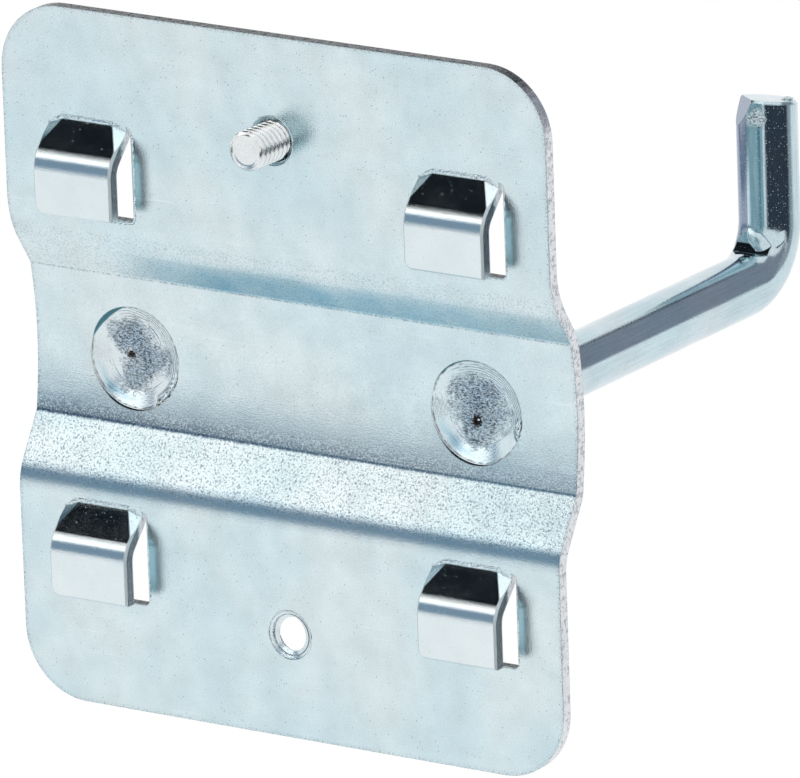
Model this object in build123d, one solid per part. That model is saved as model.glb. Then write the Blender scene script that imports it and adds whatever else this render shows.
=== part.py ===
from build123d import *
import os

os.makedirs("parts", exist_ok=True)

# Frame: plate upright in XZ, origin at the middle of its back face,
# +Y toward the panel it hangs on, hooks toward -Y, +Z up. Millimetres.
# Left and right are those of a person in front of it: left is -X.

# Plate sheet and outline
sheet = 1.2
plate_width = 61.5
plate_height = 69.0
corner_radius = 6.8

# Channel pressed toward the front across the plate, with a bowed floor
upper_mouth = 12.7
upper_crease = 7.65
lower_crease = 7.05
lower_mouth = 12.45
wall_depth = 3.3
floor_dip = 1.0
upper_mouth_bend = 9.0
lower_mouth_bend = 5.0
crease_bend = 0.8
floor_bow = 40.0

# Hook tabs lanced out of the plate
tab_pitch_x = 42.0
tab_pitch_z = 38.0
tab_width = 8.87
tab_reach = 3.1
tab_root = 4.6
tab_knee = 1.2
tab_end = -4.15
tab_root_bend = 0.3
tab_knee_bend = 3.0
tab_corner = 0.9
tab_edge_bevel = 0.2
tab_facet_width = 1.6
tab_facet_drop = 0.6
tab_facet_run = 0.7
tab_lance_slot = 0.08
tab_open_slot = 0.5
tab_overlap = 0.45
window_top = 4.5
window_bottom = -4.8
window_corner = 0.6

# Tapped holes and locking screw
thread_radius = 2.0
thread_clearance = 0.05
hole_z = 24.3
flare_width = 0.4
flare_depth = 0.2
screw_out = 4.4
screw_length = 8.0
screw_tip_chamfer = 0.45
head_radius = 4.0
head_height = 2.8
head_bevel = 1.0
recess_span = 4.4
recess_width = 1.2
recess_depth = 1.7
recess_taper_angle = 9.0

# Hook rods
rod_radius = 3.0
rod_inset = 11.3
rod_z = -0.5
rod_reach = 50.7
left_rise = 17.5
right_rise = 15.8
bend_radius = 5.6
weld_collar = 0.8
foot_sink = 0.3

# Sheared upper end of the rod: a sloping top and a broken edge facing inward and toward the plate
tip_slope_angle = 10.0
tip_chamfer = 0.25
shear_height = 2.4
shear_depth = 0.95
shear_turn_angle = 43.0

# Bending tool's mark in the rod's inner corner
mark_bite = 0.2
mark_run = 2.6
mark_flat = 0.85

# Welding electrode's print on the back of the channel floor
print_z = -0.6
print_radius = 5.1
print_flat = 3.3
print_depth = 0.95
pip_radius = 0.4
pip_depth = 0.1


# Section of the bent sheet from its back line, with the thickness toward the front
def sheet_band(points, radii):
    with BuildSketch(Plane.YZ) as section:
        with BuildLine():
            FilletPolyline(*points, radius=radii)
            offset(amount=sheet, side=Side.RIGHT)
        make_face()
    return section.sketch


def make_plate():
    half = plate_height / 2
    back_line = [
        (0, half),
        (0, upper_mouth),
        (-wall_depth, upper_crease),
        (-wall_depth - floor_dip, (upper_crease - lower_crease) / 2),
        (-wall_depth, -lower_crease),
        (0, -lower_mouth),
        (0, -half),
    ]
    bends = [upper_mouth_bend, crease_bend, floor_bow, crease_bend, lower_mouth_bend]
    plate = extrude(sheet_band(back_line, bends), amount=plate_width / 2, both=True)
    outline = Plane.XZ * RectangleRounded(plate_width, plate_height, corner_radius)
    plate &= extrude(outline, amount=4 * wall_depth, both=True)

    window_height = window_top - window_bottom
    window_width = tab_width + tab_lance_slot + tab_open_slot
    window = RectangleRounded(window_width, window_height, window_corner)
    window_x = (tab_lance_slot - tab_open_slot) / 2
    window = Plane.XZ * Pos(window_x, (window_top + window_bottom) / 2) * window
    tab = make_tab()
    for x in (-tab_pitch_x / 2, tab_pitch_x / 2):
        for z in (-tab_pitch_z / 2, tab_pitch_z / 2):
            plate -= Pos(x, 0, z) * extrude(window, amount=2 * sheet, both=True)
            plate += Pos(x, 0, z) * tab

    for z in (-hole_z, hole_z):
        plate -= Pos(0, -sheet / 2, z) * Rot(X=90) * Cylinder(thread_radius, 2 * sheet)
        flare = Cone(thread_radius, thread_radius + flare_width, flare_depth)
        plate -= Pos(0, -flare_depth / 2, z) * Rot(X=-90) * flare

    print_floor = front_of(plate) + sheet - print_depth
    stamp = Rot(X=-90) * Cone(print_flat, 2 * print_radius - print_flat, 2 * print_depth)
    stamp = Pos(0, print_depth, 0) * stamp
    stamp &= Rot(X=90) * Cylinder(print_radius, 4 * wall_depth)
    stamp += Rot(X=90) * Cylinder(pip_radius, 2 * pip_depth)
    for x in rod_places():
        plate -= Pos(x, print_floor, print_z) * stamp
    return plate


def make_tab():
    back_line = [
        (0, window_top + tab_overlap),
        (0, tab_root),
        (tab_reach, tab_knee),
        (tab_reach, tab_end),
    ]
    section = sheet_band(back_line, [tab_root_bend, tab_knee_bend])
    tab = extrude(section, amount=tab_width / 2, both=True)
    lower_corners = tab.edges().filter_by(Axis.Y).group_by(Axis.Z)[0]
    tab = fillet(lower_corners.sort_by(Axis.X)[-1], tab_corner)
    outer_face = tab.faces().sort_by(Axis.Y)[-1]
    tab = chamfer(outer_face.edges().filter_by(Axis.Z), tab_edge_bevel)
    return tab - slope_facet(1) - slope_facet(-1)


# Cuts the side edge of the tab's slope from a wide corner at the root to nothing at the knee
def slope_facet(side):
    edge = side * tab_width / 2
    root = Vector(edge - side * tab_facet_width, 0, tab_root)
    low = Vector(edge, 0, tab_root - tab_facet_drop)
    fall = (tab_root - tab_knee) * tab_facet_run
    knee = Vector(edge, tab_reach * tab_facet_run, tab_root - fall)
    outward = (low - root).cross(knee - root) * side
    size = 4 * tab_width
    facet = Plane(root, x_dir=knee - root, z_dir=outward)
    wedge = facet * Pos(0, 0, size / 2) * Box(size, size, size)
    return wedge & Pos(0, size / 2, 0) * Box(size, size, size)


def front_of(plate):
    return plate.bounding_box().min.Y


def rod_places():
    side = plate_width / 2 - rod_inset
    return (-side, side)


def make_rod(plate, x, rise):
    foot_y = front_of(plate)
    end_y = foot_y - rod_reach
    bend_y = end_y + bend_radius
    bend_z = rod_z + bend_radius
    run_start = Plane((x, foot_y + foot_sink, rod_z), x_dir=(1, 0, 0), z_dir=(0, -1, 0))
    run_end = Plane((x, bend_y, rod_z), x_dir=(1, 0, 0), z_dir=(0, -1, 0))
    bar = Circle(rod_radius)
    rod = extrude(run_start * bar, amount=rod_reach + foot_sink - bend_radius)
    rod += revolve(run_end * bar, Axis((x, bend_y, bend_z), (-1, 0, 0)), 90)
    upright = extrude(Pos(x, end_y, bend_z) * bar, amount=rise)
    tip = Pos(x, end_y, rod_z + rise)
    upright -= tip * Rot(X=tip_slope_angle) * Pos(0, 0, rise / 2) * Box(rise, rise, rise)
    rod += chamfer(upright.edges().group_by(Axis.Z)[-1], tip_chamfer)

    collar = Pos(0, 0, weld_collar / 2) * Cone(rod_radius + weld_collar, rod_radius, weld_collar)
    collar += Pos(0, 0, -foot_sink / 2) * Cylinder(rod_radius + weld_collar, foot_sink)
    rod += Pos(x, foot_y, rod_z) * Rot(X=90) * collar

    inward = 1 if x < 0 else -1
    lean = Rot(Z=-inward * (90 - shear_turn_angle)) * Pos(0, rod_radius - shear_depth / 2, 0)
    rod -= tip * lean * shear_block()

    inner_y = end_y + rod_radius
    inner_z = rod_z + rod_radius
    mark = [
        (inner_y - mark_bite, inner_z - mark_bite),
        (inner_y + mark_run, inner_z),
        (inner_y + mark_run, inner_z + mark_run),
        (inner_y, inner_z + mark_run),
    ]
    with BuildSketch(Plane.YZ) as wedge:
        Polygon(*mark, align=None)
        chamfer(wedge.vertices().group_by(Axis.Z)[0], mark_flat)
    rod -= Pos(x, 0, 0) * extrude(wedge.sketch, amount=2 * rod_radius, both=True)
    return (rod - plate).solids().sort_by(SortBy.VOLUME)[-1]


def shear_block():
    side = 4 * rod_radius
    angle = degrees_of(shear_depth, shear_height)
    block = Pos(0, side / 2, 0) * Box(side, side, 4 * shear_height)
    return Pos(0, 0, -shear_height / 2) * Rot(X=angle) * block


def degrees_of(opposite, adjacent):
    return Vector(adjacent, 0, 0).get_angle(Vector(adjacent, opposite, 0))


def make_screw():
    shank = thread_radius - thread_clearance
    seat_y = screw_out - screw_length
    top_y = seat_y - head_height
    half_section = [
        (0, screw_out),
        (shank - screw_tip_chamfer, screw_out),
        (shank, screw_out - screw_tip_chamfer),
        (shank, seat_y),
        (head_radius, seat_y),
        (head_radius, top_y + head_bevel),
        (head_radius - head_bevel, top_y),
        (0, top_y),
    ]
    with BuildSketch(Plane.XY) as profile:
        Polygon(*half_section, align=None)
    screw = revolve(profile.sketch, Axis.Y)
    slot = extrude(Rectangle(recess_span, recess_width), amount=recess_depth, taper=recess_taper_angle)
    for turn in (45, 135):
        screw -= Pos(0, top_y, 0) * Rot(X=-90) * Rot(Z=turn) * slot
    return Pos(0, 0, hole_z) * screw


plate = make_plate()
left_x, right_x = rod_places()
export_step(plate, "parts/base_plate.step")
export_step(make_rod(plate, left_x, left_rise), "parts/left_hook_rod.step")
export_step(make_rod(plate, right_x, right_rise), "parts/right_hook_rod.step")
export_step(make_screw(), "parts/locking_screw.step")
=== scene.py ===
import bmesh
import bpy
import math
from mathutils import Matrix, Vector, noise


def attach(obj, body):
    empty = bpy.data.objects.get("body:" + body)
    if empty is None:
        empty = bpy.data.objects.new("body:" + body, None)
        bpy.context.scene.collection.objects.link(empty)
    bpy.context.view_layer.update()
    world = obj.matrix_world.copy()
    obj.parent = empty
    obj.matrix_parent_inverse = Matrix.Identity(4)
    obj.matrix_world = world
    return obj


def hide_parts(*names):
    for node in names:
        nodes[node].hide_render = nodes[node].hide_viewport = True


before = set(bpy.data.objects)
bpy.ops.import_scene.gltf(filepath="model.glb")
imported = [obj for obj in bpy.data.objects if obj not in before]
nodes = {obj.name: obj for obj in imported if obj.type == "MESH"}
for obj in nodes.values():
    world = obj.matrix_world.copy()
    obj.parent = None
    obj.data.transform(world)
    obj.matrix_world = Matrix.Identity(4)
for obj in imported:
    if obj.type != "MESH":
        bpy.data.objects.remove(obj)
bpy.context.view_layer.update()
print("stage: frame loaded")

scene = bpy.context.scene
scene.view_settings.view_transform = "Standard"
mm = 0.001
fullTurn = 2 * math.pi

# camera: angles and scale found from the photograph's edges, in its own frame of pixels
cameraSet = {
    "azimuth": 214.2,
    "elevation": 16.7,
    "roll": -2.02,
    "distance": 1.25,
    "pixelsPerMm": 10.625,
    "originPixel": (280.7, 389.6),
    "imageSize": (800, 778),
    "sensor": 36.0,
    "clip": (0.01, 50),
}


def makeCamera(s):
    a, e = math.radians(s["azimuth"]), math.radians(s["elevation"])
    back = Vector((math.sin(a) * math.cos(e), -math.cos(a) * math.cos(e), math.sin(e)))
    right = Vector((0, 0, 1)).cross(back).normalized()
    up = back.cross(right)
    r = math.radians(s["roll"])
    sideAxis = math.cos(r) * right + math.sin(r) * up
    upAxis = -math.sin(r) * right + math.cos(r) * up
    wide, high = s["imageSize"]
    cam = bpy.data.cameras.new("camera")
    obj = bpy.data.objects.new("camera", cam)
    scene.collection.objects.link(obj)
    cam.sensor_width = s["sensor"]
    cam.lens = s["pixelsPerMm"] * s["distance"] * 1000 * s["sensor"] / wide
    px, py = s["originPixel"]
    target = (sideAxis * (wide / 2 - px) - upAxis * (high / 2 - py)) * mm / s["pixelsPerMm"]
    m = Matrix((sideAxis, upAxis, back)).transposed().to_4x4()
    m.translation = target + back * s["distance"]
    obj.matrix_world = m
    cam.clip_start, cam.clip_end = s["clip"]
    scene.camera = obj


makeCamera(cameraSet)
print("stage: camera placed")


# short ways to place shader nodes; an operand is a number or a socket
def put(tree, socket, value):
    if isinstance(value, bpy.types.NodeSocket):
        tree.links.new(value, socket)
    else:
        socket.default_value = value


def calc(tree, operation, *operands, clamp=False):
    n = tree.nodes.new("ShaderNodeMath")
    n.operation = operation
    n.use_clamp = clamp
    for i, v in enumerate(operands):
        put(tree, n.inputs[i], v)
    return n.outputs[0]


def times(tree, *values):
    total = values[0]
    for v in values[1:]:
        total = calc(tree, "MULTIPLY", total, v)
    return total


def apart(tree, a, b):
    return calc(tree, "ABSOLUTE", calc(tree, "SUBTRACT", a, b))


def diagonal(tree, a, b):
    return calc(tree, "SQRT", calc(tree, "ADD", times(tree, a, a), times(tree, b, b)))


def vectorCalc(tree, operation, *operands):
    n = tree.nodes.new("ShaderNodeVectorMath")
    n.operation = operation
    for i, v in enumerate(operands):
        put(tree, n.inputs["Scale"] if operation == "SCALE" and i == 1 else n.inputs[i], v)
    return n.outputs["Value"] if operation in ("DOT_PRODUCT", "LENGTH") else n.outputs["Vector"]


def spread(tree, value, low, high, toLow=0.0, toHigh=1.0, smooth=False):
    n = tree.nodes.new("ShaderNodeMapRange")
    n.interpolation_type = "SMOOTHSTEP" if smooth else "LINEAR"
    for i, v in enumerate((value, low, high, toLow, toHigh)):
        put(tree, n.inputs[i], v)
    return n.outputs[0]


def blendColour(tree, factor, a, b):
    n = tree.nodes.new("ShaderNodeMix")
    n.data_type = "RGBA"
    put(tree, n.inputs[0], factor)
    put(tree, n.inputs[6], a)
    put(tree, n.inputs[7], b)
    return n.outputs[2]


def blendValue(tree, factor, a, b):
    n = tree.nodes.new("ShaderNodeMix")
    put(tree, n.inputs[0], factor)
    put(tree, n.inputs[2], a)
    put(tree, n.inputs[3], b)
    return n.outputs[0]


def cloud(tree, place, scale, detail=2.0, rough=0.5):
    n = tree.nodes.new("ShaderNodeTexNoise")
    put(tree, n.inputs["Vector"], place)
    n.inputs["Scale"].default_value = scale
    n.inputs["Detail"].default_value = detail
    n.inputs["Roughness"].default_value = rough
    return n.outputs[0]


def stretch(tree, place, scale, turn=(0, 0, 0)):
    n = tree.nodes.new("ShaderNodeMapping")
    put(tree, n.inputs["Vector"], place)
    n.inputs["Rotation"].default_value = [math.radians(v) for v in turn]
    n.inputs["Scale"].default_value = scale
    return n.outputs[0]


def parts(tree, vector):
    n = tree.nodes.new("ShaderNodeSeparateXYZ")
    put(tree, n.inputs[0], vector)
    return n.outputs


# scattered cells: three random values for each cell, and the distance from its middle
def cells(tree, place, scale):
    n = tree.nodes.new("ShaderNodeTexVoronoi")
    put(tree, n.inputs["Vector"], place)
    n.inputs["Scale"].default_value = scale
    return parts(tree, n.outputs["Color"]), n.outputs["Distance"]


def newGroup(name, inputs, outputs):
    tree = bpy.data.node_groups.new(name, "ShaderNodeTree")
    for way, sockets in (("INPUT", inputs), ("OUTPUT", outputs)):
        for label, kind in sockets:
            tree.interface.new_socket(name=label, in_out=way, socket_type="NodeSocket" + kind)
    came = tree.nodes.new("NodeGroupInput").outputs
    return tree, came, tree.nodes.new("NodeGroupOutput").inputs


def useGroup(tree, group, **values):
    n = tree.nodes.new("ShaderNodeGroup")
    n.node_tree = group
    for label, v in values.items():
        put(tree, n.inputs[label], v)
    return n.outputs


# zinc plating: tint that drifts, fine dark pits, soft grain; scales in waves per mm
skinSet = {
    "wideScale": 0.07,
    "softScale": 0.30,
    "grainScale": 6.5,
    "pitScale": 3.4,
    "pitShare": (0.78, 0.98),
    "pitReach": (0.05, 0.22),
    "pitShade": 0.55,
    "pitDull": 0.25,
    "pitDepth": 0.8,
    "grainDepth": 0.75,
    "softDepth": 0.35,
    "softLight": (0.93, 1.04),
    "grainLight": (0.90, 1.07),
    "softGloss": (0.05, -0.03),
}


def makeSkinGroup(s):
    t, i, o = newGroup(
        "zincSkin",
        [
            ("Place", "Vector"), ("Tint", "Color"), ("Drift", "Color"),
            ("Pits", "Float"), ("Gloss", "Float"),
        ],
        [("Color", "Color"), ("Roughness", "Float"), ("Height", "Float")],
    )
    place = i["Place"]
    wide = spread(t, cloud(t, place, s["wideScale"], 3.0), 0.36, 0.64, smooth=True)
    soft = cloud(t, place, s["softScale"], 5.0, 0.55)
    grain = cloud(t, place, s["grainScale"], 3.0, 0.7)
    chance, away = cells(t, place, s["pitScale"])
    few = spread(t, chance[0], *s["pitShare"])
    near = spread(t, away, *s["pitReach"], 1.0, 0.0)
    pit = calc(t, "MULTIPLY", times(t, few, near), i["Pits"], clamp=True)
    tone = blendColour(t, wide, i["Tint"], i["Drift"])
    light = times(
        t,
        spread(t, soft, 0.3, 0.7, *s["softLight"]),
        spread(t, grain, 0.3, 0.7, *s["grainLight"]),
        calc(t, "SUBTRACT", 1.0, times(t, pit, s["pitShade"])),
    )
    put(t, o["Color"], vectorCalc(t, "SCALE", tone, light))
    shine = calc(t, "ADD", i["Gloss"], spread(t, soft, 0.3, 0.7, *s["softGloss"]))
    put(t, o["Roughness"], calc(t, "ADD", shine, times(t, pit, s["pitDull"])))
    low = calc(t, "ADD", times(t, grain, s["grainDepth"]), times(t, soft, s["softDepth"]))
    put(t, o["Height"], calc(t, "SUBTRACT", low, times(t, pit, s["pitDepth"])))
    return t


# thin handling scratches across the XZ face: turn in degrees and cut of each direction
scratchSet = {
    "ways": ((24.0, 0.66), (-57.0, 0.69)),
    "long": (0.10, 2.0, 3.4),
    "gapScale": 0.16,
    "edge": 0.05,
}


def makeScratchGroup(s):
    t, i, o = newGroup(
        "handlingScratches", [("Place", "Vector"), ("Amount", "Float")], [("Mask", "Float")]
    )
    total = None
    for turn, cut in s["ways"]:
        drawn = cloud(t, stretch(t, i["Place"], s["long"], (0, turn, 0)), 1.0, 1.0)
        gaps = spread(t, cloud(t, i["Place"], s["gapScale"], 1.0), 0.5, 0.6)
        line = times(t, spread(t, drawn, cut, cut + s["edge"]), gaps)
        total = line if total is None else calc(t, "MAXIMUM", total, line)
    put(t, o["Mask"], calc(t, "MULTIPLY", total, i["Amount"], clamp=True))
    return t


# cut faces of the sheet: smooth sheared part and torn part with ticks across the thickness
cutSet = {
    "facing": (0.16, 0.32),
    "tickScale": (4.5, 0.9, 4.5),
    "tornScale": 2.2,
    "tornLight": 0.88,
    "roughness": (0.26, 0.5),
    "depth": 0.8,
}


def makeCutGroup(s):
    t, i, o = newGroup(
        "cutFace",
        [("Place", "Vector"), ("Normal", "Vector"), ("Tint", "Color")],
        [("Mask", "Float"), ("Color", "Color"), ("Roughness", "Float"), ("Height", "Float")],
    )
    facing = calc(t, "ABSOLUTE", parts(t, i["Normal"])[1])
    put(t, o["Mask"], spread(t, facing, *s["facing"], 1.0, 0.0, smooth=True))
    ticks = cloud(t, stretch(t, i["Place"], s["tickScale"]), 1.0, 3.0, 0.6)
    torn = spread(t, cloud(t, i["Place"], s["tornScale"], 3.0, 0.6), 0.52, 0.64)
    light = times(
        t,
        spread(t, ticks, 0.3, 0.7, 0.88, 1.08),
        spread(t, torn, 0.0, 1.0, 1.0, s["tornLight"]),
    )
    put(t, o["Color"], vectorCalc(t, "SCALE", i["Tint"], light))
    put(t, o["Roughness"], spread(t, torn, 0.0, 1.0, *s["roughness"]))
    put(t, o["Height"], times(t, calc(t, "ADD", ticks, torn), s["depth"]))
    return t


# drawn bar: fine lines along the run, turning with the bend into the upright
drawnSet = {"across": 6.0, "along": 0.16, "light": (0.88, 1.08)}


def makeDrawnGroup(s):
    t, i, o = newGroup(
        "drawnLines",
        [("Place", "Vector"), ("Bend Start", "Float"), ("Bend End", "Float")],
        [("Light", "Float"), ("Height", "Float")],
    )
    wide, long = s["across"], s["along"]
    run = cloud(t, stretch(t, i["Place"], (wide, long, wide)), 1.0, 4.0, 0.65)
    rise = cloud(t, stretch(t, i["Place"], (wide, wide, long)), 1.0, 4.0, 0.65)
    up = spread(t, parts(t, i["Place"])[1], i["Bend Start"], i["Bend End"], smooth=True)
    line = blendValue(t, up, run, rise)
    put(t, o["Light"], spread(t, line, 0.3, 0.7, *s["light"]))
    put(t, o["Height"], line)
    return t


# rough broken or bruised metal inside a ball around a point, fading at its edge
bruiseSet = {
    "gritStretch": (0.75, 1.0, 1.4),
    "gritScale": 4.2,
    "wanderScale": 0.55,
    "wander": 0.3,
    "fray": 0.45,
    "fade": (0.55, 1.1),
    "light": (0.15, 1.9),
}


def makeBruiseGroup(s):
    t, i, o = newGroup(
        "bruise",
        [("Place", "Vector"), ("Centre", "Vector"), ("Reach", "Float"), ("Grit", "Float")],
        [("Mask", "Float"), ("Light", "Float"), ("Height", "Float")],
    )
    away = vectorCalc(t, "LENGTH", vectorCalc(t, "SUBTRACT", i["Place"], i["Centre"]))
    grit = cloud(t, stretch(t, i["Place"], s["gritStretch"]), s["gritScale"], 5.0, 0.74)
    shift = cloud(t, i["Place"], s["wanderScale"], 2.0)
    wander = spread(t, shift, 0.3, 0.7, -s["wander"], s["wander"])
    fray = spread(t, grit, 0.2, 0.8, -s["fray"], s["fray"])
    edge = calc(t, "ADD", calc(t, "DIVIDE", away, i["Reach"]), fray)
    mask = spread(t, calc(t, "ADD", edge, wander), *s["fade"], 1.0, 0.0, smooth=True)
    put(t, o["Mask"], mask)
    put(t, o["Light"], spread(t, grit, 0.43, 0.57, *s["light"]))
    put(t, o["Height"], times(t, grit, mask, i["Grit"]))
    return t


skinGroup = makeSkinGroup(skinSet)
scratchGroup = makeScratchGroup(scratchSet)
cutGroup = makeCutGroup(cutSet)
drawnGroup = makeDrawnGroup(drawnSet)
bruiseGroup = makeBruiseGroup(bruiseSet)
print("stage: shader groups made")


# a metal with its zinc plating; place is in mm
def newMetal(name, s):
    mat = bpy.data.materials.new(name)
    mat.use_nodes = True
    t = mat.node_tree
    shader = t.nodes["Principled BSDF"]
    shader.inputs["Metallic"].default_value = 1.0
    coords = t.nodes.new("ShaderNodeTexCoord")
    place = vectorCalc(t, "SCALE", coords.outputs["Object"], 1000.0)
    labels = {"Tint": s["tint"], "Drift": s["drift"], "Pits": s["pits"], "Gloss": s["gloss"]}
    return mat, t, shader, place, useGroup(t, skinGroup, Place=place, **labels)


def roundedBump(t, shader, height, s):
    soft = t.nodes.new("ShaderNodeBevel")
    soft.samples = 3
    soft.inputs["Radius"].default_value = s["edgeRadius"]
    bump = t.nodes.new("ShaderNodeBump")
    bump.inputs["Strength"].default_value = 1.0
    bump.inputs["Distance"].default_value = s["bumpDepth"]
    put(t, bump.inputs["Height"], height)
    put(t, bump.inputs["Normal"], soft.outputs[0])
    put(t, shader.inputs["Normal"], bump.outputs[0])


# pressed sheet of the plate; places in mm, each pair fades from its first value to its second
sheetSet = {
    "tint": (0.61, 0.76, 0.81, 1),
    "drift": (0.69, 0.79, 0.82, 1),
    "gloss": 0.10,
    "pits": 1.0,
    "bumpDepth": 0.0000210,
    "edgeRadius": 0.00016,
    "speckleScale": 5.0,
    "scratches": 0.25,
    "scratchTint": (0.86, 0.90, 0.92, 1),
    "scratchDepth": 0.5,
    "paintedReflectionTint": (0.28, 0.52, 0.65, 1),  # painted teal reflection on the upper slope
    "paintedReflectionTop": (11.4, 9.0),
    "paintedReflectionCrease": (7.45, 7.75),
    "paintedReflectionLeft": (19.0, 11.0),
    "paintedReflectionRight": (-6.0, -30.0, 1.0, 0.55),
    "patchScale": 0.22,
    "creaseShadeRimTint": (0.10, 0.14, 0.17, 1),  # painted shade along the upper crease, and a dark speckled line round the outline
    "creaseShadeRim": 0.6,
    "creaseZ": 7.6,
    "creaseReach": (0.04, 0.16),
    "rimReach": (-0.45, -0.1),
    "halfWidth": 30.75,
    "halfHeight": 34.5,
    "corner": 6.8,
    "peelShadeTint": (0.11, 0.16, 0.22, 1),  # orange peel grain with painted shade on the pressed walls and at the floor's foot by its lower crease
    "peelScale": 4.8,
    "peelShadeUpperLower": (0.35, 0.8),
    "wallTop": (-0.1, -0.5),
    "wallBottom": (-3.35, -3.1),
    "wallEnd": (13.2, 12.2),
    "footTop": (-4.6, -7.0),
    "footCrease": (-7.4, -7.1),
    "footAcross": (-28.0, 26.0, 0.7, 1.1),
    "footThick": 0.10,
    "footPeelShade": 0.85,
    "ringTint": (0.08, 0.10, 0.12, 1),  # dark lines left by the tap
    "holeZ": 24.3,
    "holeRings": (2.03, 2.38),
    "ringReach": (0.03, 0.09, 0.8, 0.0),
    "tabFrom": (0.05, 0.4),  # the tabs stand off the plate's back
    "tabTop": (1.2, 2.6),
    "tabTint": (0.80, 0.85, 0.87, 1),
    "tabShare": 0.6,
    "tabGrain": 0.6,
    # painted shade on the tabs' inner sides, which face the plate
    "insideShadeTint": (0.44, 0.64, 0.70, 1),
    "lipTint": (0.86, 0.90, 0.92, 1),
    "brokenEdge": 0.707,
    "brokenReach": (0.08, 0.14, 0.7, 0.0),
    "cutTint": (0.78, 0.81, 0.84, 1),
    # painted shade on the plate's upward-facing cut edges
    "upperCutShadeTint": (0.025, 0.036, 0.044, 1),
    "topFacing": (0.6, 0.85),
}


# 0 on the plate's outline, falling inward, in mm
def outlineDistance(t, place, s):
    across = parts(t, vectorCalc(t, "ABSOLUTE", place))
    x = calc(t, "MAXIMUM", calc(t, "SUBTRACT", across[0], s["halfWidth"] - s["corner"]), 0.0)
    z = calc(t, "MAXIMUM", calc(t, "SUBTRACT", across[2], s["halfHeight"] - s["corner"]), 0.0)
    return calc(t, "SUBTRACT", diagonal(t, x, z), s["corner"])


# where the painted teal reflection lies on the channel's upper slope
def paintedReflectionMask(t, s, place, speckle):
    x, _, z = parts(t, place)
    return times(
        t,
        spread(t, z, *s["paintedReflectionTop"], smooth=True),
        spread(t, z, *s["paintedReflectionCrease"]),
        spread(t, x, *s["paintedReflectionLeft"], smooth=True),
        spread(t, x, *s["paintedReflectionRight"]),
        spread(t, cloud(t, place, s["patchScale"], 3.0), 0.3, 0.62, 0.45, 1.0),
        spread(t, speckle, 0.3, 0.6, 0.7, 1.0),
    )


# painted shade along the upper crease, and a dark speckled line round the outline
def creaseShadeRimMask(t, s, place, speckle):
    off = apart(t, parts(t, place)[2], s["creaseZ"])
    crease = spread(t, off, *s["creaseReach"], 1.0, 0.0)
    rim = spread(t, outlineDistance(t, place, s), *s["rimReach"])
    crease = times(t, crease, spread(t, speckle, 0.46, 0.58))
    rim = times(t, rim, spread(t, speckle, 0.50, 0.60))
    return times(t, calc(t, "MAXIMUM", crease, rim), s["creaseShadeRim"])


# orange peel grain darkened as painted shade on the walls and at the floor's foot
def peelShadeMask(t, s, place):
    x, y, z = parts(t, place)
    peel = cloud(t, place, s["peelScale"], 3.0, 0.75)
    wall = times(
        t,
        spread(t, y, *s["wallTop"]),
        spread(t, y, *s["wallBottom"]),
        spread(t, calc(t, "ABSOLUTE", z), *s["wallEnd"]),
    )
    foot = times(
        t,
        spread(t, z, *s["footTop"]),
        spread(t, z, *s["footCrease"]),
        spread(t, x, *s["footAcross"]),
    )
    most = spread(t, z, 0.0, -1.0, *s["peelShadeUpperLower"])
    thick = calc(t, "ADD", peel, times(t, foot, s["footThick"]))
    wallDots = times(t, wall, spread(t, peel, 0.53, 0.61, 0.0, most))
    footDots = times(t, foot, spread(t, thick, 0.50, 0.60, 0.0, s["footPeelShade"]))
    return calc(t, "MAXIMUM", wallDots, footDots)


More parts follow.
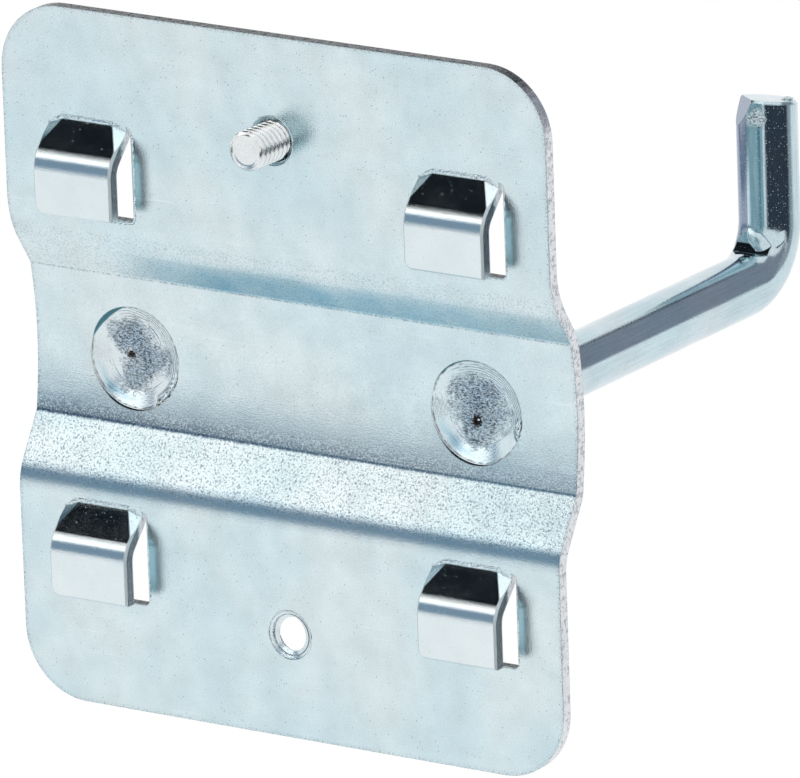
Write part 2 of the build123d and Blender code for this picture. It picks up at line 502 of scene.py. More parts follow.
def makeSheet(s):
    mat, t, shader, place, skin = newMetal("zincSheet", s)
    face = t.nodes.new("ShaderNodeNewGeometry").outputs["True Normal"]
    faceX, faceY, faceZ = parts(t, face)
    x, y, z = parts(t, place)
    speckle = cloud(t, place, s["speckleScale"], 4.0, 0.75)
    scratch = useGroup(t, scratchGroup, Place=place, Amount=s["scratches"])["Mask"]
    cut = useGroup(t, cutGroup, Place=place, Normal=face, Tint=s["cutTint"])

    tone = blendColour(t, scratch, skin["Color"], s["scratchTint"])
    # painted teal reflection on the upper slope
    tone = blendColour(t, paintedReflectionMask(t, s, place, speckle), tone, s["paintedReflectionTint"])
    # painted shade along the upper crease, dark speckled line round the outline
    tone = blendColour(t, creaseShadeRimMask(t, s, place, speckle), tone, s["creaseShadeRimTint"])
    # orange peel grain with painted shade on the walls and the foot
    tone = blendColour(t, peelShadeMask(t, s, place), tone, s["peelShadeTint"])
    span = diagonal(t, x, calc(t, "SUBTRACT", calc(t, "ABSOLUTE", z), s["holeZ"]))
    for ring in s["holeRings"]:
        line = spread(t, apart(t, span, ring), *s["ringReach"])
        line = times(t, line, spread(t, speckle, 0.42, 0.55))
        tone = blendColour(t, line, tone, s["ringTint"])

    raised = spread(t, y, *s["tabFrom"])
    tabTop = times(t, spread(t, y, *s["tabTop"]), s["tabShare"])
    tone = blendColour(t, tabTop, tone, s["tabTint"])
    # painted shade on the tabs' inner sides, which face the plate
    inside = times(t, raised, spread(t, faceY, -0.2, -0.4))
    tone = blendColour(t, inside, tone, s["insideShadeTint"])
    # painted shade on upward-facing cut edges, speckled
    upperCutShade = spread(t, faceZ, *s["topFacing"])
    upperCutShade = times(t, upperCutShade, spread(t, speckle, 0.55, 0.70, 1.0, 0.3))
    sides = blendColour(t, upperCutShade, cut["Color"], s["upperCutShadeTint"])
    sides = blendColour(t, raised, sides, s["lipTint"])
    put(t, shader.inputs["Base Color"], blendColour(t, cut["Mask"], tone, sides))

    torn = times(t, cut["Mask"], calc(t, "SUBTRACT", 1.0, raised))
    rough = blendValue(t, torn, skin["Roughness"], cut["Roughness"])
    slant = apart(t, calc(t, "ABSOLUTE", faceX), s["brokenEdge"])
    dull = times(t, raised, spread(t, slant, *s["brokenReach"]))
    put(t, shader.inputs["Roughness"], calc(t, "MAXIMUM", rough, dull))
    low = calc(t, "SUBTRACT", skin["Height"], times(t, scratch, s["scratchDepth"]))
    low = times(t, low, spread(t, raised, 0.0, 1.0, 1.0, s["tabGrain"]))
    roundedBump(t, shader, blendValue(t, torn, low, cut["Height"]), s)
    return mat


# drawn bar of the rods; a broken patch sits at each tip, in mm
barSet = {
    "tint": (0.55, 0.70, 0.76, 1),
    "drift": (0.63, 0.72, 0.77, 1),
    "gloss": 0.10,
    "pits": 0.8,
    "bumpDepth": 0.0000060,
    "edgeRadius": 0.00018,
    "bendStart": -49.6,
    "bendEnd": -53.6,
    "lineDepth": 0.5,
    "rodX": 19.45,
    "tipPoint": (0.6, -53.2, 15.8),
    "tipReach": 1.05,
    "tipGrit": 6.0,
    "tipTint": (0.62, 0.70, 0.74),
    "tipDull": 0.4,
    "upright": (-52.0, -53.0),
    "paintedReflectionTint": (0.19, 0.35, 0.41, 1),  # painted teal reflection on the side toward the plate, painted slate shade beside it
    "paintedReflectionFacing": (-0.15, 0.988, 0.0),
    "paintedReflectionEdge": (0.95, 0.985),
    "shadeTint": (0.25, 0.30, 0.41, 1),
    "shadeFacing": (0.643, 0.766, 0.0),
    "shadeEdge": (0.848, 0.90),
    "specks": 6.2,
    "speckTint": (0.90, 0.93, 0.95, 1),
    "speckShare": (0.60, 0.85),
    "speckReach": (0.12, 0.30),
    "speckDull": 0.75,
    "speckDepth": 0.6,
}


def facingMask(t, face, way, edge):
    return spread(t, vectorCalc(t, "DOT_PRODUCT", face, way), *edge, smooth=True)


def makeBar(s):
    mat, t, shader, place, skin = newMetal("zincBar", s)
    face = t.nodes.new("ShaderNodeNewGeometry").outputs["True Normal"]
    ends = {"Bend Start": s["bendStart"], "Bend End": s["bendEnd"]}
    drawn = useGroup(t, drawnGroup, Place=place, **ends)
    same = vectorCalc(t, "MULTIPLY", vectorCalc(t, "ABSOLUTE", place), (1.0, 0.0, 0.0))
    same = vectorCalc(t, "ADD", same, vectorCalc(t, "MULTIPLY", place, (0.0, 1.0, 1.0)))
    same = vectorCalc(t, "SUBTRACT", same, (s["rodX"], 0.0, 0.0))  # both rods alike
    where = {"Centre": s["tipPoint"], "Reach": s["tipReach"], "Grit": s["tipGrit"]}
    tip = useGroup(t, bruiseGroup, Place=same, **where)
    upright = spread(t, parts(t, place)[1], *s["upright"])
    chance, away = cells(t, place, s["specks"])
    speck = times(
        t,
        spread(t, chance[1], *s["speckShare"]),
        spread(t, away, *s["speckReach"], 1.0, 0.0),
        upright,
    )
    # painted teal reflection on the upright's side toward the plate
    paintedReflection = times(
        t,
        facingMask(t, face, s["paintedReflectionFacing"], s["paintedReflectionEdge"]),
        upright,
        spread(t, drawn["Light"], 0.9, 1.05, 1.0, 0.6),
    )
    # painted slate shade beside it
    shade = times(t, facingMask(t, face, s["shadeFacing"], s["shadeEdge"]), upright)

    tone = vectorCalc(t, "SCALE", skin["Color"], drawn["Light"])
    tone = blendColour(t, paintedReflection, tone, s["paintedReflectionTint"])
    tone = blendColour(t, shade, tone, s["shadeTint"])
    tone = blendColour(t, speck, tone, s["speckTint"])
    tipTone = vectorCalc(t, "SCALE", s["tipTint"], tip["Light"])
    put(t, shader.inputs["Base Color"], blendColour(t, tip["Mask"], tone, tipTone))
    rough = calc(t, "MAXIMUM", skin["Roughness"], times(t, speck, s["speckDull"]))
    rough = calc(t, "MAXIMUM", rough, times(t, tip["Mask"], s["tipDull"]))
    put(t, shader.inputs["Roughness"], rough)
    low = calc(t, "ADD", skin["Height"], times(t, drawn["Height"], s["lineDepth"]))
    high = calc(t, "ADD", tip["Height"], times(t, speck, s["speckDepth"]))
    roundedBump(t, shader, calc(t, "ADD", low, high), s)
    return mat


# bright rolled thread
screwMetalSet = {
    "tint": (0.80, 0.84, 0.85, 1),
    "drift": (0.86, 0.87, 0.87, 1),
    "gloss": 0.20,
    "pits": 0.7,
    "bumpDepth": 0.0000045,
    "edgeRadius": 0.00005,
}


def makeScrewMetal(s):
    mat, t, shader, _, skin = newMetal("zincScrew", s)
    put(t, shader.inputs["Base Color"], skin["Color"])
    put(t, shader.inputs["Roughness"], skin["Roughness"])
    roundedBump(t, shader, skin["Height"], s)
    return mat


# metal pressed and torn by welding; the prints' middles are burnt and each has a dark pip, in mm
scarSet = {
    "tint": (0.66, 0.79, 0.84, 1),
    "drift": (0.72, 0.80, 0.83, 1),
    "gloss": 0.14,
    "pits": 1.0,
    "bumpDepth": 0.0000120,
    "edgeRadius": 0.00004,
    "marks": {
        "burnt": {
            "tint": (0.28, 0.36, 0.43),
            "reach": 2.0,
            "grit": 3.0,
            "share": 0.75,
            "dull": 0.34,
            "spots": (
                (-18.2, -4.85, 1.1), (-20.3, -4.85, 1.0), (-21.0, -4.85, -0.6),
                (-19.1, -4.85, -2.2), (-18.0, -4.85, -0.8),
                (20.8, -4.85, 1.3), (19.4, -4.85, 0.1), (17.6, -4.85, -0.9), (19.8, -4.85, -2.2),
            ),
        },
        "pip": {
            "tint": (0.030, 0.018, 0.015),
            "reach": 0.75,
            "grit": 1.0,
            "share": 0.96,
            "dull": 0.7,
            "spots": ((-19.0, -4.85, -1.7), (20.4, -4.85, -0.6)),
        },
    },
}


def makeScar(s):
    mat, t, shader, place, skin = newMetal("weldScar", s)
    tone, rough, low = skin["Color"], skin["Roughness"], skin["Height"]
    for mark in s["marks"].values():
        for spot in mark["spots"]:
            where = {"Centre": spot, "Reach": mark["reach"], "Grit": mark["grit"]}
            hurt = useGroup(t, bruiseGroup, Place=place, **where)
            dark = vectorCalc(t, "SCALE", mark["tint"], hurt["Light"])
            tone = blendColour(t, times(t, hurt["Mask"], mark["share"]), tone, dark)
            rough = calc(t, "MAXIMUM", rough, times(t, hurt["Mask"], mark["dull"]))
            low = calc(t, "ADD", low, hurt["Height"])
    paintedShade = t.nodes.new("ShaderNodeAttribute")
    paintedShade.attribute_name = "paintedShade"  # painted shade, absent on most scars, so nothing is taken off there
    left = vectorCalc(t, "SUBTRACT", (1.0, 1.0, 1.0), paintedShade.outputs["Color"])
    put(t, shader.inputs["Base Color"], vectorCalc(t, "MULTIPLY", tone, left))
    put(t, shader.inputs["Roughness"], rough)
    roundedBump(t, shader, low, s)
    return mat


sheetMetal = makeSheet(sheetSet)
barMetal = makeBar(barSet)
screwMetal = makeScrewMetal(screwMetalSet)
scarMetal = makeScar(scarSet)
cadMetals = {"base_plate": sheetMetal, "left_hook_rod": barMetal, "right_hook_rod": barMetal}
for name, metal in cadMetals.items():
    nodes[name].data.materials.clear()
    nodes[name].data.materials.append(metal)
print("stage: materials on the sheet and bars")


# verts in mm in the shared frame
def makePiece(name, verts, faces, metal, body):
    mesh = bpy.data.meshes.new(name)
    mesh.from_pydata([Vector(v) * mm for v in verts], [], faces)
    bm = bmesh.new()
    bm.from_mesh(mesh)
    bmesh.ops.recalc_face_normals(bm, faces=bm.faces)
    bm.to_mesh(mesh)
    bm.free()
    mesh.materials.append(metal)
    mesh.shade_smooth()
    obj = bpy.data.objects.new(name, mesh)
    scene.collection.objects.link(obj)
    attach(obj, body)
    return obj


def bridge(faces, a, b):
    n = len(a)
    for i in range(n):
        j = (i + 1) % n
        faces.append((a[i], a[j], b[j], b[i]))


# skin over closed rows of points; ends: both capped, only the first capped, or a loop of rows
def makeRows(name, rows, metal, body, ends="both"):
    width = len(rows[0])
    rings = [list(range(k * width, (k + 1) * width)) for k in range(len(rows))]
    faces = []
    for a, b in zip(rings, rings[1:] + rings[:1] if ends == "loop" else rings[1:]):
        bridge(faces, a, b)
    if ends != "loop":
        faces.append(tuple(rings[0]))
    if ends == "both":
        faces.append(tuple(reversed(rings[-1])))
    return makePiece(name, [p for row in rows for p in row], faces, metal, body)


# painted shade: share of each colour that a piece's points swallow
def setPaintedShade(piece, paintedShades):
    layer = piece.data.color_attributes.new("paintedShade", "FLOAT_COLOR", "POINT")
    layer.data.foreach_set("color", paintedShades)


def limit(value):
    return min(1.0, max(0.0, value))


def angleOff(degrees, middle):
    return (degrees - middle + 180) % 360 - 180


# locking screw: M4 thread, dished tip, pan head with a cross recess
screwSet = {
    "z": 24.3,
    "tipY": 4.399,
    "seatY": -3.6,
    "pitch": 0.7,
    "crest": 1.95,
    "root": 1.56,
    "crestFlat": 0.16,
    "flank": 0.66,
    "tipChamfer": 0.3,
    "tipSlope": 0.9,
    "tipDish": 0.175,
    "tipRings": 8,
    "turningMark": 0.012,
    "dishFloor": 0.84,
    "dishRim": 0.96,
    "rimDrop": 0.01,
    "headRadius": 4.0,
    "headHeight": 2.8,
    "headEdge": 0.12,
    "headSide": 0.9,
    "headSteps": 9,
    "headFlat": 0.28,
    "headMiddle": 0.15,
    "recessSpan": 4.4,
    "recessWidth": 1.2,
    "recessDepth": 1.7,
    "recessOver": 0.5,
    "recessTaper": (1.08, 0.62),
    "sharpAngle": 38,
    "sides": 56,
    "rowsPerPitch": 14,
}


def threadRadius(s, y, angle):
    t = (y / s["pitch"] - angle / fullTurn) % 1.0
    lift = limit((abs(t - 0.5) * 2 - s["crestFlat"]) / s["flank"])
    r = s["crest"] - (s["crest"] - s["root"]) * lift
    return min(r, s["crest"] - s["tipChamfer"] + s["tipSlope"] * (s["tipY"] - y))


def screwRows(s):
    rows = []

    def ring(y, radius):
        row = []
        for i in range(s["sides"]):
            a = fullTurn * i / s["sides"]
            r = radius(a) if callable(radius) else radius
            row.append((r * math.sin(a), y, s["z"] + r * math.cos(a)))
        rows.append(row)

    tipRadius = s["crest"] - s["tipChamfer"]
    for k in range(1, s["tipRings"] + 1):
        mark = s["turningMark"] if k % 2 else 0.0
        ring(s["tipY"] - s["tipDish"] - mark, tipRadius * s["dishFloor"] * k / s["tipRings"])
    ring(s["tipY"] - s["rimDrop"], tipRadius * s["dishRim"])
    count = int((s["tipY"] - s["seatY"]) / s["pitch"] * s["rowsPerPitch"])
    for k in range(count + 1):
        y = s["tipY"] + (s["seatY"] - s["tipY"]) * k / count
        ring(y, lambda a, y=y: threadRadius(s, y, a))
    seat, r = s["seatY"], s["headRadius"]
    ring(seat, 0.5 * r)
    ring(seat, r - s["headEdge"])
    ring(seat - s["headEdge"], r)
    ring(seat - s["headSide"], r)
    for k in range(1, s["headSteps"]):
        a = math.radians(90 * k / s["headSteps"])
        y = seat - s["headSide"] - (s["headHeight"] - s["headSide"]) * math.sin(a)
        ring(y, r * (s["headFlat"] + (1 - s["headFlat"]) * math.cos(a)))
    ring(seat - s["headHeight"], s["headMiddle"] * r)
    return rows


def recessCutter(s):
    verts, faces = [], []
    top = s["seatY"] - s["headHeight"]
    for turn in (45, 135):
        base = len(verts)
        for y, k in zip((top - s["recessOver"], top + s["recessDepth"]), s["recessTaper"]):
            for u, w in ((-1, -1), (1, -1), (1, 1), (-1, 1)):
                p = Vector((u * s["recessSpan"] / 2 * k, w * s["recessWidth"] / 2 * k, 0))
                p = Matrix.Rotation(math.radians(turn), 3, "Z") @ p
                verts.append((p.x, y, s["z"] + p.y))
        b = [base + j for j in range(8)]
        bridge(faces, b[:4], b[4:])
        faces += [tuple(reversed(b[:4])), tuple(b[4:])]
    return makePiece("recessCutter", verts, faces, screwMetal, "locking_screw")


def makeScrew(s):
    screw = makeRows("lockingScrew", screwRows(s), screwMetal, "locking_screw")
    cutter = recessCutter(s)
    cut = screw.modifiers.new("recess", "BOOLEAN")
    cut.operation = "DIFFERENCE"
    cut.solver = "EXACT"
    cut.use_self = True
    cut.object = cutter
    bpy.context.view_layer.update()
    graph = bpy.context.evaluated_depsgraph_get()
    done = bpy.data.meshes.new_from_object(screw.evaluated_get(graph))
    screw.modifiers.clear()
    screw.data = done
    bpy.data.objects.remove(cutter)
    done.shade_smooth()
    done.set_sharp_from_angle(angle=math.radians(s["sharpAngle"]))
    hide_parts("locking_screw")


makeScrew(screwSet)
print("stage: locking screw threaded")

# thread turns left in the lower tapped hole
holeSet = {
    "z": -24.3,
    "pitch": 0.7,
    "inner": 1.62,
    "outer": 2.06,
    "flank": 0.22,
    "levels": (0.29, 0.24, 0.06),
    "from": -0.14,
    "to": -1.18,
    "runOut": 6,
    "thinnest": 0.02,
    # painted shade in the thread's grooves
    "groovePaintedShade": 0.8,
    "sharpAngle": 40,
    "stepsPerTurn": 60,
}


def makeHoleThread(s):
    rows, paintedShades = [], []
    turns = (s["from"] - s["to"]) / s["pitch"]
    steps = int(turns * s["stepsPerTurn"])
    for k in range(steps + 1):
        a = fullTurn * turns * k / steps
        y = s["from"] + (s["to"] - s["from"]) * k / steps
        fade = min(1.0, s["runOut"] * k / steps, s["runOut"] * (steps - k) / steps)
        inner = s["outer"] - (s["outer"] - s["inner"]) * max(s["thinnest"], fade)
        flank = s["outer"] - s["flank"] * (s["outer"] - inner)
        half = list(zip((s["outer"], flank, inner), s["levels"]))
        row = []
        for r, dy in half + [(r, -dy) for r, dy in reversed(half)]:
            level = min(s["from"], max(s["to"], y + dy))
            row.append((-r * math.sin(a), level, s["z"] + r * math.cos(a)))
            # painted shade at the bottom of each groove
            paintedShades += [s["groovePaintedShade"] if r == s["outer"] else 0.0] * 3 + [1.0]
        rows.append(row)
    piece = makeRows("holeThread", rows, scarMetal, "holder")
    setPaintedShade(piece, paintedShades)
    piece.data.set_sharp_from_angle(angle=math.radians(s["sharpAngle"]))


makeHoleThread(holeSet)
print("stage: hole thread")

# welding prints: pressed dishes with turning rings, a mottled middle and torn rims
printSet = {
    "z": -0.6,
    "floorY": -4.881,
    "flat": 3.3,
    "radius": 5.08,
    "flank": 0.528,
    "plateY": -3.931,
    "plateMiddle": 0.3,
    "plateBow": 40.0,
    "lift": 0.03,
    "sink": 0.02,
    "dome": 0.10,
    "ringStep": 0.30,
    "ringDepth": 0.022,
    "ringSide": 120,
    "middleDepth": 0.06,
    "pipRadius": 0.4,
    "pipDepth": 0.11,
    "tearPlace": 0.93,
    "tearReach": 0.6,
    "coarse": 2.6,
    "spokes": 180,
    "steps": 84,
}

# painted shade on the prints' skins: rim line, turned lines and dark crescent; painted teal
# reflection on the lower edge
paintedShadeSet = {
    "rimInset": 0.10,
    "rimWander": 0.06,
    "rimWide": 0.12,
    "lines": (3.55, 3.95, 4.30, 4.62),
    "lineSide": 125,
    "lineWander": 0.12,
    "lineWide": 0.07,
    "lineMost": 0.8,
    "darkest": 0.85,
    "moonEdge": 0.08,
    "moonMost": 0.9,
    "moonTint": (1.0, 0.86, 0.80),
    "tealAngle": (312, 42),
    "tealRing": (4.4, 0.5),
    "tealWander": 0.3,
    "tealMost": 0.6,
    "tealTint": (0.9, 0.5, 0.3),
    "most": 0.96,
}

# pip beside the middle; tears as (angle, half width, height) and the crescent of painted shade
# as (angle, half width, depth), in degrees and mm
printPlaces = {
    "leftPrint": {
        "x": -19.45,
        "seed": 3.0,
        "pip": (0.45, -1.1),
        "tears": ((193, 14, 0.4), (60, 60, 0.08)),
        "crescent": (62, 50, 0.16),
    },
    "rightPrint": {
        "x": 19.45,
        "seed": 11.0,
        "pip": (0.95, 0.0),
        "tears": ((218, 26, 0.6),),
        "crescent": (48, 36, 0.46),
    },
}


# painted shade and painted teal reflection: share of light a print's skin swallows at radius r
# and angle a
def printPaintedShade(s, radius, r, a, place):
    dx, dz = r * math.cos(a), r * math.sin(a)
    wave = noise.noise((dx * 0.8, dz * 0.8, place["seed"] + 20))
    gaps = noise.noise((dx * 2.2, dz * 2.2, place["seed"] + 30))
    rim = abs(r - radius + s["rimInset"] + s["rimWander"] * gaps)
    dark = limit(1 - rim / s["rimWide"]) * limit(0.7 + 1.3 * gaps)
    side = max(0.0, math.cos(a - math.radians(s["lineSide"])))
    for at in s["lines"]:
        line = limit(1 - abs(r - at - s["lineWander"] * wave) / s["lineWide"])
        dark = max(dark, line * side * max(0.0, min(s["lineMost"], 0.5 + 1.5 * gaps)))
    middle, span, depth = place["crescent"]
    off = angleOff(math.degrees(a), middle)
    inner = radius - depth * max(0.0, 1 - (off / span) ** 2)
    moon = s["moonMost"] * limit((r - inner) / s["moonEdge"]) if abs(off) < span else 0.0
    tealAngle, tealSpan = s["tealAngle"]
    tealRing, tealWide = s["tealRing"]
    low = limit(1 - abs(angleOff(math.degrees(a), tealAngle)) / tealSpan)
    low *= limit(1 - abs(r - tealRing - s["tealWander"] * wave) / tealWide)
    return [
        min(s["most"], max(s["darkest"] * dark, moon * m, s["tealMost"] * low * k))
        for m, k in zip(s["moonTint"], s["tealTint"])
    ]


# height of a print's skin at radius r and angle a
def printHeight(s, r, a, place):
    seed = place["seed"]
    dx, dz = r * math.cos(a), r * math.sin(a)
    fine = (dx * s["coarse"], dz * s["coarse"])
    dish = s["floorY"] + max(0.0, r - s["flat"]) * s["flank"]
    plate = s["plateY"] + (s["z"] + dz - s["plateMiddle"]) ** 2 / (2 * s["plateBow"])
    inside = limit((plate - dish) / 0.08)
    core = limit((s["flat"] - 0.3 - r) / 0.9)
    away = math.hypot(dx - place["pip"][0], dz - place["pip"][1])
    rough = noise.fractal(Vector((*fine, seed)), 0.6, 2.1, 5)
    wobble = noise.noise((dx * 0.6, dz * 0.6, seed))
    turning = math.sin(fullTurn * away / s["ringStep"] + wobble)
    upper = 0.06 + 0.94 * max(0.0, math.cos(a - math.radians(s["ringSide"])))
    y = min(dish, plate) + s["lift"] * inside - s["sink"] * (1 - inside)
    y += s["dome"] * max(0.0, 1 - (r / s["flat"]) ** 2)
    y += inside * s["ringDepth"] * turning * (1 - core) * upper
    y += inside * s["middleDepth"] * rough * core
    y -= s["pipDepth"] * max(0.0, 1 - (away / s["pipRadius"]) ** 2)
    for tearAngle, tearWidth, tearHeight in place["tears"]:
        off = angleOff(math.degrees(a), tearAngle)
        bump = max(0.0, 1 - (off / tearWidth) ** 2)
        bump *= max(0.0, 1 - ((r - s["tearPlace"] * s["radius"]) / s["tearReach"]) ** 2)
        y += tearHeight * bump * max(0.0, 0.5 + 1.2 * noise.noise((*fine, seed + 5)))
    return y


def makePrint(name, s, place):
    rows, paintedShades = [], []
    for k in range(1, s["steps"] + 1):
        r = s["radius"] * k / s["steps"]
        row = []
        for i in range(s["spokes"]):
            a = fullTurn * i / s["spokes"]
            y = printHeight(s, r, a, place)
            row.append((place["x"] + r * math.cos(a), y, s["z"] + r * math.sin(a)))
            paintedShades += printPaintedShade(paintedShadeSet, s["radius"], r, a, place) + [1.0]
        rows.append(row)
    setPaintedShade(makeRows(name, rows, scarMetal, "holder", ends="first"), paintedShades)


for printName, printPlace in printPlaces.items():
    makePrint(printName, printSet, printPlace)
print("stage: welding prints")

# weld flash squeezed out round the foot of each bar
flashSet = {
    "x": 19.45,
    "y": -5.08,
    "z": -0.5,
    "ring": 3.75,
    "thick": 0.36,
    "uneven": 0.22,
    "wander": 0.2,
    "spokes": 96,
    "sides": 12,
}


def makeFlash(name, x, s, seed):
    rows = []
    for i in range(s["spokes"]):
        a = fullTurn * i / s["spokes"]
        p = Vector((math.cos(a) * 3, math.sin(a) * 3, seed))
        row = []
        for k in range(s["sides"]):
            b = fullTurn * k / s["sides"]
            lump = noise.fractal(p + Vector((0, 0, 0.6 * math.cos(b))), 0.8, 2.0, 3)
            t = s["thick"] + s["uneven"] * lump
            r = s["ring"] + t * math.cos(b) + s["wander"] * noise.noise(p * 0.6)
            y = s["y"] - abs(t) * math.sin(b)
            row.append((x + r * math.cos(a), y, s["z"] + r * math.sin(a)))
        rows.append(row)
    makeRows(name, rows, scarMetal, "holder", ends="loop")


makeFlash("leftFlash", -flashSet["x"], flashSet, 1.0)
makeFlash("rightFlash", flashSet["x"], flashSet, 7.0)
print("stage: weld flash")

# places of the four tabs, with a number that differs for each
tabSet = {"pitchX": 42.0, "pitchZ": 38.0}


def tabPlaces(s):
    for column, sideX in (("left", -0.5), ("right", 0.5)):
        for row, sideZ in (("Upper", 0.5), ("Lower", -0.5)):
            yield column + row, sideX * s["pitchX"], sideZ * s["pitchZ"], sideX + 3 * sideZ


# points in even steps along a line of corners
def walk(path, step):
    for (x0, z0), (x1, z1) in zip(path, path[1:]):
        n = max(1, int(math.hypot(x1 - x0, z1 - z0) / step))
        for k in range(n):
            yield x0 + (x1 - x0) * k / n, z0 + (z1 - z0) * k / n


# rough burrs left along each window's lower and outer edge; one of them is wider
burrSet = {
    "left": -4.935,
    "right": 4.515,
    "top": 4.5,
    "bottom": -4.8,
    "corner": 0.6,
    "width": 0.16,
    "height": 0.10,
    "root": 0.03,
    "depth": 0.16,
    "step": 0.09,
    "coarse": 2.2,
    "wideOne": "rightUpper",
    "wider": 1.9,
    "seed": 5,
}


def makeBurr(place, cx, cz, s, seed):
    corner = s["corner"]
    path = [(s["right"] - corner, s["bottom"]), (s["left"] + corner, s["bottom"])]
    for k in range(1, 6):
        a = math.radians(18 * k)
        x = s["left"] + corner - corner * math.sin(a)
        path.append((x, s["bottom"] + corner - corner * math.cos(a)))
    path += [(s["left"], s["top"] - corner)]
    points = list(walk(path, s["step"]))
    wide = s["width"] * (s["wider"] if place == s["wideOne"] else 1.0)
    rows = []
    for k, (px, pz) in enumerate(points):
        qx, qz = points[min(k + 1, len(points) - 1)]
        ox, oz = points[max(k - 1, 0)]
        out = Vector((qz - oz, ox - qx)).normalized()
        at = Vector((px * s["coarse"] + cx, pz * s["coarse"] + cz, seed))
        lump = noise.fractal(at, 0.7, 2.0, 4)
        h = s["height"] * max(0.1, 0.55 + 0.9 * lump)
        w = wide * max(0.3, 0.8 + 0.8 * lump)
        lip = -s["root"] + 0.04 * lump
        section = ((-s["root"], -s["depth"]), (lip, 0.8 * h), (0.35 * w, h), (w, -s["root"]))
        rows.append([(cx + px - out.x * off, y, cz + pz - out.y * off) for off, y in section])
    makeRows(place + "Burr", rows, scarMetal, "holder")


for tabName, tabX, tabZ, tabNumber in tabPlaces(tabSet):
    makeBurr(tabName, tabX, tabZ, burrSet, burrSet["seed"] + tabNumber)
print("stage: window burrs")

# torn bead along each tab's root, running down the two facets
rootSet = {
    "end": (4.40, 4.0),
    "shoulder": (2.9, 4.72),
    "wide": 0.26,
    "high": 0.15,
    "sink": 0.03,
    "step": 0.05,
    "points": 7,
    "coarse": 5.5,
    "fade": 0.8,
    "seed": 9,
}


def makeRoot(place, cx, cz, s, seed):
    (ex, ez), (sx, sz) = s["end"], s["shoulder"]
    rows = []
    for px, pz in walk([(-ex, ez), (-sx, sz), (sx, sz), (ex, ez)], s["step"]):
        fade = min(1.0, 0.15 + (ex - abs(px)) / s["fade"])
        row = []
        for j in range(s["points"]):
            b = math.pi * j / (s["points"] - 1)
            at = (px * s["coarse"] + cx, pz * s["coarse"] + 1.6 * math.cos(b), seed)
            lump = noise.fractal(Vector(at), 0.6, 2.1, 4)
            h = fade * s["high"] * max(0.15, 0.8 + 1.0 * lump)
            w = fade * s["wide"] * (1 + 0.35 * lump)
            row.append((cx + px, h * math.sin(b) - s["sink"], cz + pz + w * math.cos(b)))
        rows.append(row)
    makeRows(place + "Root", rows, scarMetal, "holder")


for tabName, tabX, tabZ, tabNumber in tabPlaces(tabSet):
    makeRoot(tabName, tabX, tabZ, rootSet, rootSet["seed"] + tabNumber)
print("stage: tab roots")

# thin raised rim round each tapped hole
rimSet = {
    "z": 24.3,
    "ring": 2.43,
    "thick": 0.07,
    "uneven": 0.05,
    "coarse": 4,
    "spokes": 96,
    "sides": 8,
}


def makeRim(name, z, s, seed):
    rows = []
    for i in range(s["spokes"]):
        a = fullTurn * i / s["spokes"]
        lump = noise.noise((math.cos(a) * s["coarse"], math.sin(a) * s["coarse"], seed))
        t = s["thick"] + s["uneven"] * lump
        row = []
        for k in range(s["sides"]):
            b = fullTurn * k / s["sides"]
            r = s["ring"] + t * math.cos(b)
            row.append((r * math.cos(a), t * math.sin(b), z + r * math.sin(a)))
        rows.append(row)
    makeRows(name, rows, scarMetal, "holder", ends="loop")


makeRim("upperRim", rimSet["z"], rimSet, 2.0)
makeRim("lowerRim", -rimSet["z"], rimSet, 6.0)
print("stage: hole rims")

# metal squeezed up beside the bend's mark, and the torn burr on the sheared top;
# mirrored on the right bar, whose top is lower
lumpSet = {
    "Bulge": {
        "at": (-20.55, -53.52, 4.15),
        "facing": (-0.42, 0.78, 0.46),
        "size": (1.9, 1.9, 0.44),
        "rough": 0.02,
        "rightDrop": 0.0,
    },
    "TipBurr": {
        "at": (-21.2, -56.5, 16.80),
        "facing": (0.0, 0.1, 1.0),
        "size": (0.95, 0.5, 0.24),
        "rough": 0.22,
        "rightDrop": 1.7,
    },
}
lumpMesh = {"spokes": 40, "rows": 20, "lean": (0.3, 0.1, 0.9), "coarse": 2.2}


def makeLump(name, s, m, side, drop, seed):
    mirror = Vector((side, 1, 1))
    n = (Vector(s["facing"]) * mirror).normalized()
    u = n.cross(Vector(m["lean"])).normalized()
    w = n.cross(u)
    x, y, z = s["at"]
    at = Vector((x, y, z - drop)) * mirror
    sizeU, sizeW, sizeN = s["size"]
    rows = []
    for k in range(1, m["rows"]):
        p = math.pi * k / m["rows"]
        row = []
        for i in range(m["spokes"]):
            a = fullTurn * i / m["spokes"]
            d = Vector((math.sin(p) * math.cos(a), math.sin(p) * math.sin(a), math.cos(p)))
            lump = noise.fractal(d * m["coarse"] + Vector((seed, 0, 0)), 0.7, 2.0, 4)
            g = 1 + s["rough"] * lump
            row.append(at + g * (u * d.x * sizeU + w * d.y * sizeW + n * d.z * sizeN))
        rows.append(row)
    makeRows(name, rows, barMetal, "holder")


for lumpName, lump in lumpSet.items():
    makeLump("left" + lumpName, lump, lumpMesh, 1, 0.0, 2.0)
    makeLump("right" + lumpName, lump, lumpMesh, -1, lump["rightDrop"], 5.0)
print("stage: lumps on the bars")

# pale floor below the holder; rays that meet it straight or in the metal see nearly plain white
stageSet = {
    "floorZ": -0.30,
    "floorHalf": 9.0,
    "floorTint": (0.86, 0.88, 0.89, 1),
    "white": 1.0,
    "whiteShare": 0.94,
    "skyTint": (1, 1, 1, 1),
    "sky": 1.0,
}


def lightPathMask(t):
    path = t.nodes.new("ShaderNodeLightPath")
    seen = calc(t, "MAXIMUM", path.outputs["Is Camera Ray"], path.outputs["Is Glossy Ray"])
    return calc(t, "MAXIMUM", seen, path.outputs["Is Transmission Ray"])


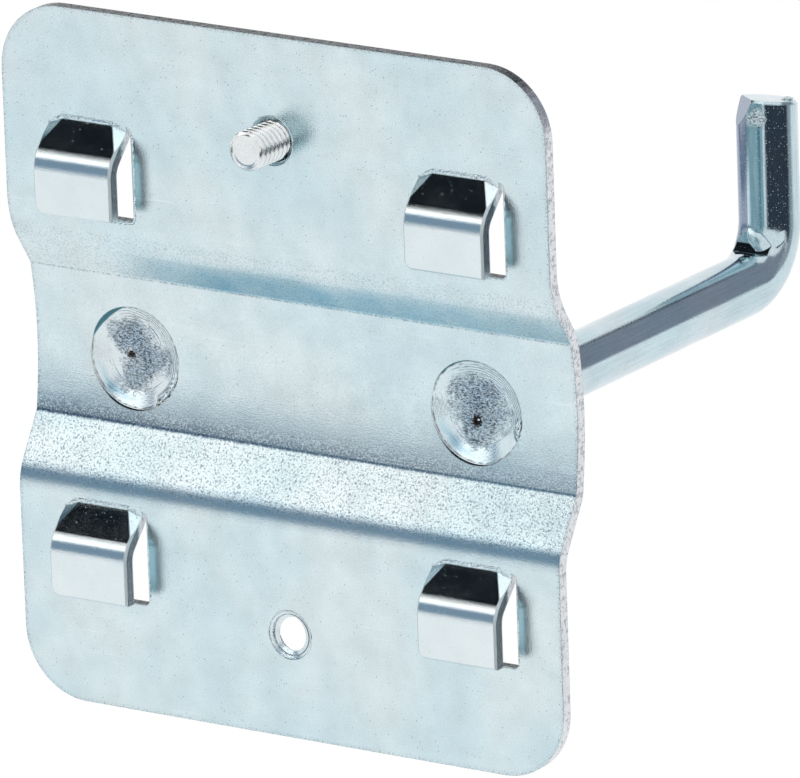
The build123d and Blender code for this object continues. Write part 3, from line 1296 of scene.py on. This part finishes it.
# a bare material with a glow and an output node
def newGlow(name, tint, power):
    mat = bpy.data.materials.new(name)
    mat.use_nodes = True
    t = mat.node_tree
    t.nodes.clear()
    glow = t.nodes.new("ShaderNodeEmission")
    glow.inputs["Color"].default_value = tint
    glow.inputs["Strength"].default_value = power
    return mat, t, glow.outputs[0], t.nodes.new("ShaderNodeOutputMaterial").inputs["Surface"]


def makeStage(name, verts, faces, mat):
    mesh = bpy.data.meshes.new(name)
    mesh.from_pydata(verts, [], faces)
    mesh.materials.append(mat)
    obj = bpy.data.objects.new(name, mesh)
    scene.collection.objects.link(obj)
    return obj


def makeFloor(s):
    mat, t, glow, surface = newGlow("paleFloor", s["skyTint"], s["white"])
    diffuse = t.nodes.new("ShaderNodeBsdfDiffuse")
    diffuse.inputs["Color"].default_value = s["floorTint"]
    mixed = t.nodes.new("ShaderNodeMixShader")
    put(t, mixed.inputs[0], times(t, lightPathMask(t), s["whiteShare"]))
    put(t, mixed.inputs[1], diffuse.outputs[0])
    put(t, mixed.inputs[2], glow)
    put(t, surface, mixed.outputs[0])
    z, h = s["floorZ"], s["floorHalf"]
    corners = [(-h, -h, z), (h, -h, z), (h, h, z), (-h, h, z)]
    makeStage("floor", corners, [(0, 1, 2, 3)], mat)


def makeSky(s):
    world = bpy.data.worlds.new("world")
    scene.world = world
    world.use_nodes = True
    sky = world.node_tree.nodes["Background"]
    sky.inputs["Color"].default_value = s["skyTint"]
    sky.inputs["Strength"].default_value = s["sky"]


makeFloor(stageSet)
makeSky(stageSet)

# studio cards round the holder, seen only in the metal: bearing from +Y toward +X and height
# above the horizon in degrees, distance in metres
cards = {
    "slateWall": {
        "bearing": (-5, 60), "height": (-4.0, 24), "far": 1.5,
        "tint": (0.23, 0.32, 0.41), "power": 1.0,
    },
    "slateTurn": {
        "bearing": (78, 136), "height": (18, 42), "far": 1.5,
        "tint": (0.07, 0.12, 0.15), "power": 1.0,
    },
    "softbox": {
        "bearing": (5, 76), "height": (31, 39.5), "far": 1.4,
        "tint": (1.0, 0.96, 0.93), "power": 1.4,
    },
    "brightBox": {
        "bearing": (5, 76), "height": (25, 31), "far": 1.4,
        "tint": (1.0, 1.0, 1.0), "power": 1.6,
    },
    "lid": {
        "bearing": (12, 150), "height": (40.5, 68), "far": 1.3,
        "tint": (0.008, 0.011, 0.014), "power": 1.0,
    },
    "topBox": {
        "bearing": (-40, 60), "height": (69, 89), "far": 1.2,
        "tint": (1.0, 1.0, 1.0), "power": 1.4,
    },
    "rearLine": {
        "bearing": (184, 189), "height": (24, 50), "far": 1.45,
        "tint": (0.05, 0.06, 0.07), "power": 1.0,
    },
    "rearSlate": {
        "bearing": (186, 262), "height": (0, 30), "far": 1.5,
        "tint": (0.28, 0.295, 0.35), "power": 1.0,
    },
    "sideSlate": {
        "bearing": (186, 262), "height": (30, 48), "far": 1.5,
        "tint": (0.28, 0.295, 0.35), "power": 1.0,
    },
    "sideCard": {
        "bearing": (-117, -26), "height": (-26, -3), "far": 0.6,
        "tint": (0.040, 0.052, 0.072), "power": 1.0,
    },
    "sideGrey": {
        "bearing": (-133, -117), "height": (-26, 6), "far": 0.6,
        "tint": (0.40, 0.42, 0.45), "power": 1.0,
    },
}
cardGrid = {"across": 48, "upward": 12}


def makeCard(name, s, grid):
    across, upward = grid["across"], grid["upward"]
    (fromSide, toSide), (fromLow, toHigh) = s["bearing"], s["height"]
    verts, faces = [], []
    for j in range(upward + 1):
        e = math.radians(fromLow + (toHigh - fromLow) * j / upward)
        for i in range(across + 1):
            a = math.radians(fromSide + (toSide - fromSide) * i / across)
            way = Vector((math.sin(a) * math.cos(e), math.cos(a) * math.cos(e), math.sin(e)))
            verts.append(way * s["far"])
    for j in range(upward):
        for i in range(across):
            k = j * (across + 1) + i
            faces.append((k, k + 1, k + across + 2, k + across + 1))
    mat, t, glow, surface = newGlow(name, (*s["tint"], 1), s["power"])
    put(t, surface, glow)
    obj = makeStage(name, verts, faces, mat)
    obj.visible_camera = False
    obj.visible_diffuse = False
    obj.visible_shadow = False


for cardName, card in cards.items():
    makeCard(cardName, card, cardGrid)

# one wide soft lamp above, on the plate's side
lampSet = {"place": (0.5, 0.7, 1.15), "size": 0.9, "energy": 9.0}


def makeLamp(s):
    lamp = bpy.data.lights.new("keyLamp", "AREA")
    lamp.shape = "DISK"
    lamp.size = s["size"]
    lamp.energy = s["energy"]
    obj = bpy.data.objects.new("keyLamp", lamp)
    scene.collection.objects.link(obj)
    obj.location = s["place"]
    obj.rotation_euler = (-Vector(s["place"])).to_track_quat("-Z", "Y").to_euler()
    obj.visible_camera = False
    obj.visible_glossy = False


makeLamp(lampSet)
print("stage: floor, world, cards and lamp")
